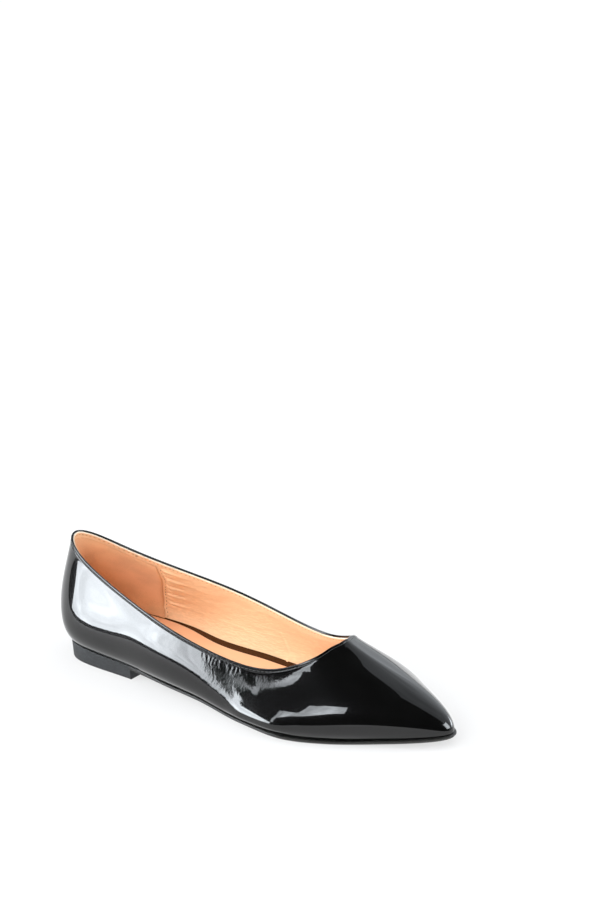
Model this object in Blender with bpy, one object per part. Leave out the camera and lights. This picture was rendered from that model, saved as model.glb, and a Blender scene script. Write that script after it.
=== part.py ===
"""Pointed toe flat shoe for the right foot, women's size EU 38, standing on its heel and its ball.

X runs from heel to toe, +Y is the inner side of the foot and Z is up. All sizes are in
millimetres, and MM turns them into Blender's metres. One function gives the skin of the last from a
table of sections, and every piece is cut, offset or capped from that skin.
"""

import bmesh
import bpy
import numpy as np

MM = 0.001

# Middle of the shoe's box, measured from the zero of the tables
MIDDLE_X = 129.8
MIDDLE_Y = -2.15

# Thicknesses and clearances
WALL = 1.8
SKIVED = 0.8
SKIVED_UP_TO = 0.12
GAP = 0.3
TURNED_UNDER = 6.0
TURNED_UNDER_LEAST = 1.5
TURNED_SHARE = 0.4
INSOLE_THICK = 1.6
INSOLE_EDGE = 0.5
GRIP_THICK = 1.0

# Folded topline: a bead a little prouder than the wall, with a round top
BEAD_OUT = 0.35
BEAD_DEEP = 2.4
BEAD_STEP = 0.7
ROLL_DEGREES = (30, 60, 90, 120, 150)

# Outsole: thickness, and its edge from the bevel underneath over the proud ridge to the top
SOLE_THICK = 2.7
SOLE_EDGE = (
    # outward of the foot line, below the foot line
    (-0.2, SOLE_THICK),
    (0.5, SOLE_THICK - 0.5),
    (0.8, 1.7),
    (1.2, 1.4),
    (1.2, 0.7),
    (0.8, GAP),
)

# Heel block: its straight breast, and its side at the floor, over the bevel and at the sole
HEEL_BREAST_X = 61.0
HEEL_BEVEL = 0.5
HEEL_OUT = (-0.3, 0.2, 0.6)

# Heel grip: how far it stays under the topline and over the insole, and how many places of the
# skin it covers on each side of the back
GRIP_UNDER_TOP = 4.0
GRIP_OVER_INSOLE = 0.4
GRIP_PLACES = 10
GRIP_ROWS = 8

# The wall leans straight in over the foot where it reaches in this far, and less where it stands,
# and the power says how sharply it goes from one to the other
OVER_FOOT_REACH = 25.0
REACH_POWER = 6

# How finely the skin is divided
STEPS_PER_SECTION = 4
WALL_ROWS = 12
ROWS_TOWARDS_FOOT = 1.3
HEIGHT_ROWS = 61
HEIGHT_ROWS_UP_TO = 0.6
LEAST_STEP = 2.0
SHARP_DEGREES = 35

# The last, a row for each section from the back of the heel to the tip of the toe. foot_ is the
# line where the upper meets the sole and top_ is the topline, each with its distance from the
# heel and its outer and inner half width. The wall leaves the foot line at foot_deg above the
# floor and reaches the topline at top_deg, and the pulls say how far each direction holds.
COLUMNS = (
    "foot_x", "foot_outer", "foot_inner", "top_x", "top_outer", "top_inner", "top_z",
    "foot_deg", "foot_pull", "top_deg", "top_pull",
)
SECTIONS = (
    (4.3, 0.0, 0.0, 1.8, 0.0, 0.0, 67.2, 51, 0.38, 80, 0.35),
    (9.8, 15.2, 14.8, 9.5, 10.2, 10.8, 63.1, 49, 0.41, 76, 0.38),
    (25.0, 25.6, 25.6, 31.8, 17.4, 18.6, 54.9, 39, 0.33, 73, 0.41),
    (62.0, 27.9, 27.0, 64.5, 25.1, 25.9, 47.1, 28, 0.40, 77, 0.45),
    (96.0, 32.4, 21.9, 100.4, 31.5, 30.8, 40.2, 31, 0.39, 76, 0.43),
    (145.8, 37.1, 28.1, 138.7, 31.7, 30.3, 33.3, 29, 0.32, 74, 0.48),
    (181.2, 40.5, 35.0, 167.0, 27.5, 26.2, 33.3, 50, 0.40, 67, 0.44),
    (210.5, 29.0, 33.5, 185.8, 17.8, 18.8, 40.6, 46, 0.39, 42, 0.41),
    (234.5, 17.1, 23.4, 191.2, 9.0, 9.9, 44.8, 60, 0.29, 29, 0.35),
    (254.7, 5.2, 13.1, 193.7, 4.2, 4.2, 46.3, 73, 0.20, 29, 0.35),
    (261.8, -4.5, 4.5, 194.6, 0.0, 0.0, 47.1, 85, 0.16, 28, 0.35),
)

# Height of the sole's underside along the shoe: heel seat, arch, flat ball, toe spring
UNDERSIDE = (
    # x, z
    (0.0, 8.4),
    (40.0, 6.8),
    (80.0, 5.4),
    (115.0, 3.9),
    (150.0, 0.0),
    (205.0, 0.0),
    (235.0, 2.0),
    (270.0, 5.3),
)


def closed_spline(rows, steps):
    """Points of a smooth closed curve through the rows, with the given steps from row to row."""
    count = len(rows)
    system = 4 * np.eye(count) + np.roll(np.eye(count), 1, 0) + np.roll(np.eye(count), -1, 0)
    slopes = np.linalg.solve(system, 3 * (np.roll(rows, -1, 0) - np.roll(rows, 1, 0)))
    after = np.roll(rows, -1, 0)
    slopes_after = np.roll(slopes, -1, 0)
    t = (np.arange(steps) / steps)[None, :, None]
    curve = (
        (2 * t**3 - 3 * t**2 + 1) * rows[:, None]
        + (t**3 - 2 * t**2 + t) * slopes[:, None]
        + (3 * t**2 - 2 * t**3) * after[:, None]
        + (t**3 - t**2) * slopes_after[:, None]
    )
    return curve.reshape(count * steps, -1)


def smooth_steps(table, x):
    """Height at x of the smooth line through the table's points, flat between equal heights."""
    xs, zs = np.array(table, float).T
    rise = np.diff(zs) / np.diff(xs)
    before, behind = rise[:-1], rise[1:]
    same_way = before * behind > 0
    slopes = np.zeros(len(xs))
    slopes[0], slopes[-1] = rise[0], rise[-1]
    slopes[1:-1][same_way] = 2 * (before * behind)[same_way] / (before + behind)[same_way]
    k = np.clip(np.searchsorted(xs, x) - 1, 0, len(xs) - 2)
    width = xs[k + 1] - xs[k]
    t = (x - xs[k]) / width
    return (
        (2 * t**3 - 3 * t**2 + 1) * zs[k]
        + (t**3 - 2 * t**2 + t) * width * slopes[k]
        + (3 * t**2 - 2 * t**3) * zs[k + 1]
        + (t**3 - t**2) * width * slopes[k + 1]
    )


def unit(vectors):
    return vectors / np.maximum(np.linalg.norm(vectors, axis=-1, keepdims=True), 1e-9)


def section_loop():
    """The table as one closed loop: the outer side from heel to toe, then the inner side back."""
    rows = [dict(zip(COLUMNS, row)) for row in SECTIONS]
    sided = [(row, "outer", -1) for row in rows]
    sided += [(row, "inner", 1) for row in rows[-2:0:-1]]
    loop = []
    for row, side, sign in sided:
        foot = [row["foot_x"], sign * row["foot_" + side]]
        top = [row["top_x"], sign * row["top_" + side], row["top_z"]]
        bend = [row[name] for name in ("foot_deg", "foot_pull", "top_deg", "top_pull")]
        loop.append(foot + top + bend)
    return np.array(loop)


class Last:
    """The outer skin of the upper: a Bezier from foot line to topline at each place round it."""

    def __init__(self):
        curve = closed_spline(section_loop(), STEPS_PER_SECTION)
        foot_z = smooth_steps(UNDERSIDE, curve[:, 0]) + SOLE_THICK
        self.foot = np.column_stack([curve[:, :2], foot_z])
        self.top = curve[:, 2:5]
        along = np.roll(self.foot, -1, 0) - np.roll(self.foot, 1, 0)
        self.out = unit(np.column_stack([along[:, 1], -along[:, 0], np.zeros(len(along))]))
        chord = self.top - self.foot
        length = np.linalg.norm(chord, axis=1, keepdims=True)
        flat = chord * (1, 1, 0)
        reach = np.linalg.norm(flat, axis=1, keepdims=True) / OVER_FOOT_REACH
        over_foot = reach / (1 + reach**REACH_POWER) ** (1 / REACH_POWER)
        inward = unit(unit(flat) * over_foot - self.out * (1 - over_foot))
        foot_deg, foot_pull, top_deg, top_pull = curve[:, 5:].T[:, :, None]
        up = np.array((0, 0, 1.0))
        leaving = self.out * np.cos(np.radians(foot_deg)) + up * np.sin(np.radians(foot_deg))
        arriving = inward * np.cos(np.radians(top_deg)) + up * np.sin(np.radians(top_deg))
        self.near_foot = self.foot + leaving * length * foot_pull
        self.near_top = self.top - arriving * length * top_pull
        self.top_speed = (3 * length * top_pull)[:, 0]

    def skin(self, v, proud):
        """Points of the skin moved out by proud, with the skin's normals and its rising directions.

        v is 0 at the foot line and 1 at the topline. v and proud each hold a row for each row of
        points, and one column, or a column for each place round."""
        v = np.broadcast_to(v, (len(v), len(self.foot)))[..., None]
        ends = (self.foot, self.near_foot, self.near_top, self.top)
        weights = ((1 - v) ** 3, 3 * (1 - v) ** 2 * v, 3 * (1 - v) * v**2, v**3)
        points = sum(weight * end for weight, end in zip(weights, ends))
        rising = (
            3 * (1 - v) ** 2 * (self.near_foot - self.foot)
            + 6 * (1 - v) * v * (self.near_top - self.near_foot)
            + 3 * v**2 * (self.top - self.near_top)
        )
        around = np.roll(points, -1, 1) - np.roll(points, 1, 1)
        normals = unit(np.cross(around, rising))
        return points + normals * np.asarray(proud)[..., None], normals, unit(rising)

    def below_top(self, distance):
        """The place v that lies this far under the topline, for each place round."""
        return 1 - distance / self.top_speed

    def at_height(self, over_foot, proud):
        """The place v where the moved skin is this high over the foot line, for each place round."""
        rows = np.linspace(0, HEIGHT_ROWS_UP_TO, HEIGHT_ROWS)[:, None]
        points, _, _ = self.skin(rows, np.full(rows.shape, proud))
        over = points[:, :, 2] - self.foot[:, 2]
        places = range(len(self.foot))
        return np.array([np.interp(over_foot, over[:, i], rows[:, 0]) for i in places])

    def foot_ring(self, outward, up=0.0):
        """The foot line moved outwards and up."""
        return self.foot + self.out * outward + np.array((0, 0, up))


def close_across(bm, ring, starts_at_tip):
    """Closes a ring with strips from one side to the other, from its start to its far end."""
    count = len(ring)
    shift = 0 if starts_at_tip else -1
    for i in range(count // 2):
        corners = (ring[i], ring[i + 1], ring[(shift - i - 1) % count], ring[(shift - i) % count])
        corners = list(dict.fromkeys(corners))
        if len(corners) > 2:
            bm.faces.new(corners)


def solid_of_rings(name, rings, material, ends="joined"):
    """One solid from rings of points, each joined to the next.

    ends says what becomes of the first and the last ring: they are joined to each other, or each
    is closed across, from a single tip point or from a pair of corners."""
    middle = np.array((MIDDLE_X, MIDDLE_Y, 0))
    bm = bmesh.new()
    verts = [[bm.verts.new((point - middle) * MM) for point in ring] for ring in rings]
    count = len(verts[0])
    pairs = list(zip(verts, verts[1:]))
    if ends == "joined":
        pairs.append((verts[-1], verts[0]))
    for low, high in pairs:
        for i in range(count):
            j = (i + 1) % count
            bm.faces.new((low[i], low[j], high[j], high[i]))
    if ends != "joined":
        for ring in (verts[0], verts[-1]):
            close_across(bm, ring, ends == "tip")
    bmesh.ops.recalc_face_normals(bm, faces=bm.faces)
    mesh = bpy.data.meshes.new(name)
    bm.to_mesh(mesh)
    bm.free()
    mesh.shade_smooth()
    mesh.set_sharp_from_angle(angle=np.radians(SHARP_DEGREES))
    mesh.materials.append(material)
    piece = bpy.data.objects.new(name, mesh)
    bpy.context.scene.collection.objects.link(piece)
    return piece


def finish(name, red_green_blue, roughness, coat=0.0):
    """A Principled material with one colour."""
    material = bpy.data.materials.new(name)
    material.use_nodes = True
    shader = material.node_tree.nodes["Principled BSDF"]
    shader.inputs["Base Color"].default_value = (*red_green_blue, 1)
    shader.inputs["Roughness"].default_value = roughness
    shader.inputs["Metallic"].default_value = 0.0
    shader.inputs["Coat Weight"].default_value = coat
    material.diffuse_color = (*red_green_blue, 1)
    return material


def make_upper(last):
    """Hollow wall with a folded, round topline and a thin edge turned under for the sole."""
    half_roll = (WALL + BEAD_OUT) / 2
    under_roll = last.below_top(half_roll)
    step_foot = last.below_top(BEAD_DEEP + BEAD_STEP)
    spread = np.linspace(0, 1, WALL_ROWS)[:, None] ** ROWS_TOWARDS_FOOT
    outer_rows = spread * step_foot
    outer, _, _ = last.skin(outer_rows, np.zeros(outer_rows.shape))
    bead_rows = np.array([last.below_top(BEAD_DEEP), under_roll])
    bead, normals, rising = last.skin(bead_rows, np.full(bead_rows.shape, BEAD_OUT))
    roll_middle = bead[1] - normals[1] * half_roll
    roll = [
        roll_middle + half_roll * (normals[1] * np.cos(angle) + rising[1] * np.sin(angle))
        for angle in np.radians(ROLL_DEGREES)
    ]
    inner_rows = spread[::-1] * under_roll
    depth = np.interp(inner_rows, (0, SKIVED_UP_TO), (SKIVED, WALL))
    inner, _, _ = last.skin(inner_rows, -depth)
    half_width = abs(last.foot[:, 1] - np.roll(last.foot[::-1, 1], 1)) / 2
    reach = np.clip(TURNED_SHARE * half_width, TURNED_UNDER_LEAST, TURNED_UNDER)[:, None]
    turned = [last.foot_ring(-reach, SKIVED), last.foot_ring(-reach)]
    patent = finish("patent_leather_black", (0.006, 0.006, 0.006), 0.08, coat=1.0)
    return solid_of_rings("upper", [*outer, *bead, *roll, *inner, *turned], patent)


def make_insole(last):
    """Board and sock as one thin piece that lies on the turned edge and fills the wall."""
    under = SKIVED + GAP
    low = last.foot_ring(-WALL - INSOLE_EDGE, under)
    edge = -WALL - INSOLE_EDGE
    high, _, _ = last.skin(last.at_height(under + INSOLE_THICK, edge)[None], [[edge]])
    sock = finish("insole_sock_peach", (0.80, 0.42, 0.22), 0.55)
    return solid_of_rings("insole", [low, high[0]], sock, ends="tip")


def make_outsole(last):
    """Thin sole with a ridge round its edge, arched, flat under the ball and sprung at the toe."""
    rings = [last.foot_ring(outward, -below) for outward, below in SOLE_EDGE]
    rubber = finish("outsole_rubber_black", (0.015, 0.015, 0.014), 0.45)
    return solid_of_rings("outsole", rings, rubber, ends="tip")


def heel_ring(last, outward):
    """The sole's outline round the back, from the breast on one side to the breast on the other."""
    ring = last.foot_ring(outward)
    half = len(ring) // 2
    outer = ring[: half + 1]
    inner = np.vstack([ring[:1], ring[:half:-1]])
    sides = []
    for side in (outer, inner):
        behind = side[side[:, 0] < HEEL_BREAST_X - LEAST_STEP]
        corner_y = np.interp(HEEL_BREAST_X, side[:, 0], side[:, 1])
        sides.append(np.vstack([behind, (HEEL_BREAST_X, corner_y, 0)]))
    return np.vstack([sides[0][::-1], sides[1][1:]])


def make_heel(last):
    """Low D-shaped block with a straight breast, flat on the floor and up against the sole."""
    rings = [heel_ring(last, outward) for outward in HEEL_OUT]
    under_sole = smooth_steps(UNDERSIDE, rings[2][:, 0]) - GAP
    for ring, height in zip(rings, (0, HEEL_BEVEL, under_sole)):
        ring[:, 2] = height
    rubber = finish("heel_rubber_black", (0.03, 0.03, 0.03), 0.6)
    return solid_of_rings("heel", rings, rubber, ends="corners")


def make_heel_grip(last):
    """Thin shell that lines the wall round the back of the heel, from the insole to the topline."""
    outside = -WALL - GAP
    inside = outside - GRIP_THICK
    over_foot = SKIVED + GAP + INSOLE_THICK + GRIP_OVER_INSOLE
    low = last.at_height(over_foot, outside)
    high = last.below_top(GRIP_UNDER_TOP)
    rows = low + np.linspace(0, 1, GRIP_ROWS)[:, None] * (high - low)
    outer, _, _ = last.skin(rows, np.full(rows.shape, outside))
    inner, _, _ = last.skin(rows, np.full(rows.shape, inside))
    loops = np.concatenate([outer, inner[::-1]])
    rings = [loops[:, place] for place in range(-GRIP_PLACES, GRIP_PLACES + 1)]
    suede = finish("heel_grip_tan", (0.55, 0.24, 0.12), 0.85)
    return solid_of_rings("heel_grip", rings, suede, ends="corners")


def main():
    for old in list(bpy.data.objects):
        bpy.data.objects.remove(old)
    last = Last()
    make_upper(last)
    make_heel_grip(last)
    make_insole(last)
    make_outsole(last)
    make_heel(last)


main()
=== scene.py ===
"""Looks of a women's pointed toe flat, right foot, in black patent leather with a peach lining.

The file is laid out as a Blender add-on and run as a script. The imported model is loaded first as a
fixed frame, in metres: X runs from heel to toe, +Y is the inner side of the foot and Z is up. One
function gives the skin of the last from the same table of sections as the model, and every piece of
leather is laid on that skin as a grid.
"""

import bmesh
import bpy
import numpy as np
from mathutils import Matrix, Vector, noise


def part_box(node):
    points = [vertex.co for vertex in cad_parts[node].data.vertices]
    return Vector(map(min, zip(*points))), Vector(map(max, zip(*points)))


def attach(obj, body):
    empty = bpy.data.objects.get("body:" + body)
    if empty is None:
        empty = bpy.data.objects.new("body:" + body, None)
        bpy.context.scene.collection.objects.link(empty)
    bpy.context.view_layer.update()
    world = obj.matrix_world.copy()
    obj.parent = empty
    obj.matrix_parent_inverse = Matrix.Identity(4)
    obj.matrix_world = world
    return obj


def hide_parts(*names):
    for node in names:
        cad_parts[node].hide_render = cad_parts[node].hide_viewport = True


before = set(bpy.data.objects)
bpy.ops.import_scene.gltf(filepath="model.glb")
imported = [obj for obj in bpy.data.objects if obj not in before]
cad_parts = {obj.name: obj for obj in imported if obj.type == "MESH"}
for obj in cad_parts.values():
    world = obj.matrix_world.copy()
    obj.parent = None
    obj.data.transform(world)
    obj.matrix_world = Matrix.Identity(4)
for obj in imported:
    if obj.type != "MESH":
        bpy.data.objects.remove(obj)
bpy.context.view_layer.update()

bl_info = {
    "name": "Pointed Toe Flat",
    "version": (1, 0, 0),
    "blender": (4, 5, 0),
    "location": "View3D > Sidebar > Flat Shoe",
    "description": "Patent upper, lining, heel grip, insole, sole, heel and studio of one flat shoe",
    "category": "Object",
}

MM = 0.001
BODY = "root"

# Middle of the shoe's box, measured from the zero of the tables
MIDDLE_X = 129.8
MIDDLE_Y = -2.15

# The last, a row for each section from the back of the heel to the tip of the toe, in millimetres
# and degrees. foot_ is the line where the upper meets the sole and top_ is the topline. The wall
# leaves the foot line at foot_deg above the floor and reaches the topline at top_deg, and the pulls
# say how far each direction holds.
COLUMNS = (
    "foot_x", "foot_outer", "foot_inner", "top_x", "top_outer", "top_inner", "top_z",
    "foot_deg", "foot_pull", "top_deg", "top_pull",
)
SECTIONS = (
    (4.3, 0.0, 0.0, 1.8, 0.0, 0.0, 67.2, 51, 0.38, 80, 0.35),
    (9.8, 15.2, 14.8, 9.5, 10.2, 10.8, 63.1, 49, 0.41, 76, 0.38),
    (25.0, 25.6, 25.6, 31.8, 17.4, 18.6, 54.9, 39, 0.33, 73, 0.41),
    (62.0, 27.9, 27.0, 64.5, 25.1, 25.9, 47.1, 28, 0.40, 77, 0.45),
    (96.0, 32.4, 21.9, 100.4, 31.5, 30.8, 40.2, 31, 0.39, 76, 0.43),
    (145.8, 37.1, 28.1, 138.7, 31.7, 30.3, 33.3, 29, 0.32, 74, 0.48),
    (181.2, 40.5, 35.0, 167.0, 27.5, 26.2, 33.3, 50, 0.40, 67, 0.44),
    (210.5, 29.0, 33.5, 185.8, 17.8, 18.8, 40.6, 46, 0.39, 42, 0.41),
    (234.5, 17.1, 23.4, 191.2, 9.0, 9.9, 44.8, 60, 0.29, 29, 0.35),
    (254.7, 5.2, 13.1, 193.7, 4.2, 4.2, 46.3, 73, 0.20, 29, 0.35),
    (261.8, -4.5, 4.5, 194.6, 0.0, 0.0, 47.1, 85, 0.16, 28, 0.35),
)
TOE_ROW = len(SECTIONS) - 1
FINE_STEPS = 4000

# Height of the sole's underside along the shoe, in millimetres
UNDERSIDE = (
    # x, z
    (0.0, 8.4),
    (40.0, 6.8),
    (80.0, 5.4),
    (115.0, 3.9),
    (150.0, 0.0),
    (205.0, 0.0),
    (235.0, 2.0),
    (270.0, 5.3),
)

# The wall leans straight in over the foot where it reaches in this far, and less where it stands
OVER_FOOT_REACH = 25.0
REACH_POWER = 6

# How fine the pieces' grids are: places round the shoe, rows up the wall, and cells from side to
# side in the level ones
SKIN_PLACES = 800
SOLE_PLACES = 480
OUTER_ROWS = 52
LINING_ROWS = 92
LINING_BACK_ROWS = 10
GRIP_ROWS = 46
GRIP_COLUMNS = 161
BOARD_CROSS = 10
SOCK_CROSS = 22
SOLE_CROSS = 24
HEEL_CROSS = 12

# A power that crowds the patent's rows towards the foot line, and the part of the wall, as a share
# of the way up, in which a height over the foot line is looked for
ROWS_TOWARDS_FOOT = 1.2
HIGHEST_FOOT_ROW = 0.7
FOOT_ROW_STEPS = 80

# Bead of the folded topline, in millimetres down the wall, and the folded edge inside
BEAD_ROWS = (2.9, 2.6, 2.35, 2.15, 2.0, 1.87, 1.75, 1.63, 1.5, 1.35, 1.15, 0.95, 0.75)
BEAD_FOOT = 2.9
BEAD_STEP = 0.8
BEAD_SMOOTH = 1.9
STITCH_DOWN = 1.75
STITCH_GROOVE = 0.2
STITCH_GROOVE_WIDE = 0.24
ROLL_DEGREES = tuple(range(12, 180, 12))
FOLD_DOWN = 0.4
FOLD_THICK = 1.3

# The patent's hidden side behind the lining: its rows, the share of the wall over which it is
# skived, the least width of the turned-in edge in millimetres and its most as a share of half the
# foot line's width
HIDDEN_ROWS = 8
SKIVED_SHARE = 0.12
LEAST_TURNED_UNDER = 1.5
WIDEST_TURNED_UNDER = 0.4

# The lining's cut edge beside the fold, in millimetres down the wall and through it
LINING_EDGE = (
    # down, inwards of the patent's fold as a share of the lining
    (1.05, 0.44),
    (0.78, 0.48),
    (0.66, 0.7),
    (0.74, 0.92),
    (0.95, 1.0),
)
LINING_FACE_FROM = 1.1

# Down the wall, in millimetres, where the cut edge's pale colour gives way to the lining's own
LINING_EDGE_FADES = (1.05, 1.7)

# Tape under the lining along the topline of the vamp: its lower edge shows as a soft line
TAPE_DOWN = (6.0, 7.4)
TAPE_FROM = (96.0, 118.0)
TAPE_THICK = 0.25

# Soft creases of the patent outside, on the outer side at the ball, in millimetres: a crease runs
# from one place to another, each given by its distance from the heel and down the wall, and is as
# wide and as deep as the row says. A negative depth is a ridge.
CREASES = (
    # from_x, from_down, to_x, to_down, wide, depth
    (139.0, 8.0, 147.0, 20.0, 3.6, 0.16),
    (148.0, 5.0, 158.0, 14.0, 3.2, -0.10),
    (157.0, 7.0, 170.0, 20.0, 3.8, 0.12),
    (172.0, 14.0, 186.0, 19.0, 3.0, -0.06),
)

# Small puckers that the topline's stitching draws into the patent, in millimetres: how far apart
# they are, how far down the wall they start and end, and how deep they are. Swings along the
# topline make their spacing and their depth uneven, and they show only near the ball.
PUCKER_EACH = 2.9
PUCKER_FROM = 3.2
PUCKER_TO = 7.5
PUCKER_DEEP = 0.06
PUCKER_SWINGS = (
    # how far a pucker is moved along, length of the swing
    (1.3, 5.3),
    (0.9, 2.1),
)
PUCKER_LEAN = 0.5
PUCKER_DEPTH_SWINGS = (11.0, 4.7)
PUCKER_MIDDLE_X = 140
PUCKER_REACH = 26

# Where the foot bends the patent into fine wrinkles, and the spot of painted shade that stands for
# the pinhole in the lining over the grip
BENDING_SPOTS = (
    # x, y, z, radius
    (140, -38, 27, 27),
    (166, -30, 32, 18),
)
PINHOLE_SHADE_SPOT = (31.7, 17.3, 51.7, 1.3)

# Slow waves that hand lasting leaves in the patent
WAVE_LONG = 24.0
WAVE_DEEP = 0.05
WAVE_STARTS = (2.0, 9.0)

# Shares of the wall over which each form fades out into the foot line
WAVE_FOOT = (0.0, 0.12)
PLUMP_FOOT = (0.0, 0.2)
SEAM_FOOT = (0.0, 0.02)

# Plumpness that the stiffener leaves under the topline, which leans the patent in towards it: its
# height along the topline, in millimetres, and how soon it is reached going down the wall
PLUMP = (
    # top_x, height
    (0.0, 0.1),
    (12.0, 0.45),
    (32.0, 0.8),
    (50.0, 0.9),
    (120.0, 0.8),
    (160.0, 0.0),
    (200.0, 0.0),
)
PLUMP_REACHED = 8.0
PLUMP_FADES = (10.0, 36.0)

# Fullness low on the patent beside the ball of the foot: how proud it is, where it starts and ends
# along the shoe, the heights where it swells out over the sole and those where it fades again
BALL_FULL = 1.2
BALL_FULL_FROM = (140.0, 154.0)
BALL_FULL_TO = (174.0, 192.0)
BALL_FULL_SWELLS = (3.5, 7.0)
BALL_FULL_FADES = (6.5, 15.5)

# Plain seam at the back of the heel
BACK_SEAM_WIDE = 0.75
BACK_SEAM_DEEP = 0.22

# Front edge of the heel grip: its distance from the heel at heights over the floor
GRIP_EDGE = (
    # z, x
    (8.0, 43.4),
    (10.7, 42.6),
    (17.4, 39.0),
    (26.4, 40.3),
    (37.5, 44.2),
    (46.4, 43.7),
    (56.0, 42.0),
)

# Its gap to the lining's face, its lower edge over the foot line, its upper edge under the topline,
# its stitches, how thin its edge is and over how many cells of its grid it gets to full thickness
GRIP_GAP = 0.32
GRIP_LOW = 2.2
GRIP_TOP_DOWN = 4.0
GRIP_STITCH_FORWARD = 1.7
GRIP_STITCH_PITCH = 2.3
GRIP_STITCH_LONG = 0.9
GRIP_STITCH_THICK = 0.5
GRIP_EDGE_THICK = 0.1
GRIP_EDGE_CELLS = 0.9

# The sole's side is flush with the heel block and grows a proud ridge in front of it. The block's
# breast stands a little in front of the model's, where the photograph shows it.
HEEL_FLUSH = 0.6
RIDGE_STARTS = (64.0, 90.0)
HEEL_BREAST_FORWARD = 2.0
BREAST_PLACES = 13

# The board's edge turns up the wall beside the sock and shows there as a dark line, which is partly
# the board and partly painted shade of the gap between the sock and the wall
BOARD_RISE = 0.8
BOARD_RISE_FROM = (38.0, 105.0)

# How far inside the wall's inner face the board's lower edge, turned-up edge and flat top lie, and
# how far it lies over the turned-in patent, in millimetres
BOARD_LOW_IN = 0.5
BOARD_EDGE_IN = 0.3
BOARD_TOP_IN = 1.4
BOARD_OVER = 0.25

# Shares of the sock's thickness: how high its side stands, and how far its middle rises over that
SOCK_SIDE = 0.55
SOCK_CROWN = 0.45

# The sock is crowned less where it is narrower than SOCK_CROWN_WIDE. Its gap to the wall is a share
# of the full one at the heel grip, and less at the toe, where half of the foot line's width is under
# SOCK_GAP_NARROWS.
SOCK_CROWN_WIDE = 30
SOCK_GAP_AT_HEEL = 0.35
SOCK_GAP_NARROWS = 14.0

# Gathers that the heel grip's seam draws into the lining in front of it
GATHERS = (
    # z at the seam, fall over the span below, reach, depth
    (46.5, 6.5, 26.0, 0.42),
    (43.4, 5.5, 22.0, 0.34),
    (40.6, 5.6, 30.0, 0.50),
    (37.2, 4.4, 24.0, 0.36),
    (34.4, 4.4, 32.0, 0.46),
    (31.0, 3.2, 24.0, 0.38),
    (28.0, 3.4, 30.0, 0.44),
    (24.6, 2.4, 20.0, 0.30),
    (21.6, 2.6, 26.0, 0.34),
    (18.4, 1.6, 18.0, 0.24),
)
GATHER_SPAN = 30
GATHER_WIDE = 0.8
GATHER_WIDENS = 26
GATHER_DEEP = 2.8
GATHER_START = 1.6
GATHER_FULL = 4.6
GATHER_FADE = 2.2

# Each gather wanders up and down by this much, with this length of swing
GATHER_WANDER = 0.35
GATHER_SWING = 4.1

# Seam between the quarter lining and the vamp lining
LINING_SEAM = (
    # z, x
    (0.0, 132.2),
    (6.9, 131.4),
    (10.8, 130.6),
    (17.2, 127.2),
    (22.0, 124.0),
    (36.0, 115.0),
)
LINING_SEAM_HIGH = 0.55
LINING_SEAM_WIDE = 0.85
LINING_SEAM_FADES = (15.0, 24.0)
LINING_LAP_HIGH = 0.12

# Unevenness of the lining, in millimetres: how high and how long the short wrinkles and the slow
# waves are, and how far down the wall the relief starts
LINING_WRINKLES = (0.2, 2.6)
LINING_WAVES = (0.16, 26.0)
LINING_RELIEF_STARTS = (2.6, 6.0)

# The stitch row that shows on the lining, in millimetres down the wall, and the furrow it draws
LINING_STITCH_DOWN = 2.45
LINING_FURROW_DEEP = 0.14
LINING_FURROW_WIDE = 0.4


def hex_colour(text):
    """A linear colour from an sRGB hex value such as "a0b1c2"."""
    parts = [int(text[i : i + 2], 16) / 255 for i in (0, 2, 4)]
    return tuple(c / 12.92 if c <= 0.04045 else ((c + 0.055) / 1.055) ** 2.4 for c in parts)


def length(name, description, millimetres):
    """A length property with its default in millimetres."""
    return bpy.props.FloatProperty(
        name=name, description=description, default=millimetres * MM, min=0, precision=5,
        unit="LENGTH", subtype="DISTANCE",
    )


def colour(name, description, text):
    """A colour property with its default as an sRGB hex value."""
    return bpy.props.FloatVectorProperty(
        name=name, description=description, default=hex_colour(text), size=3, min=0, max=1,
        subtype="COLOR",
    )


class FlatShoeSizes(bpy.types.PropertyGroup):
    """Sizes of the shoe's leathers and threads."""

    wall: length("Wall", "Thickness of patent, stiffener and lining together", 1.8)
    lining: length("Lining", "Thickness of the lining leather", 0.8)
    skived: length("Skived edge", "Thickness of the upper's edge turned under the sock", 0.8)
    turned_under: length("Turned under", "Width of the edge turned under the sock", 6.0)
    bead_out: length("Bead", "How far the folded topline stands proud of the wall", 0.15)
    stitch_pitch: length("Stitch pitch", "Distance from stitch to stitch", 2.4)
    stitch_long: length("Stitch length", "Length of a stitch that shows", 1.9)
    thread: length("Thread", "Thickness of the thread", 0.46)
    grip: length("Heel grip", "Thickness of the heel grip", 1.0)
    board: length("Board", "Thickness of the insole board", 0.9)
    sock: length("Sock", "Thickness of the padded sock at its middle", 1.3)
    sock_gap: length("Sock gap", "Board that shows between the sock and the wall", 3.2)
    sole: length("Sole", "Thickness of the outsole", 2.7)
    sole_ridge: length("Sole ridge", "How far the sole's edge stands proud of the upper", 1.2)
    heel_bevel: length("Heel bevel", "Bevel round the foot of the heel block", 0.5)


class FlatShoeColours(bpy.types.PropertyGroup):
    """Colours of the shoe's materials."""

    patent: colour("Patent", "Black under the clear film", "070707")
    lining: colour("Lining", "Peach lining leather", "f0c195")
    lining_edge: colour("Lining edge", "Paler cut edge of the lining", "f7e6cf")
    grip: colour("Heel grip", "Tan suede of the heel grip", "dfa87c")
    sock: colour("Sock", "Peach leather of the insole sock", "ebb58c")
    board: colour("Board", "Dark brown insole board", "47290f")
    sole: colour("Sole", "Black rubber of the outsole", "1b1b19")
    heel: colour("Heel", "Black rubber of the heel block", "1c1e20")
    floor: colour("Floor", "Studio floor", "7e7e7e")


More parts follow.
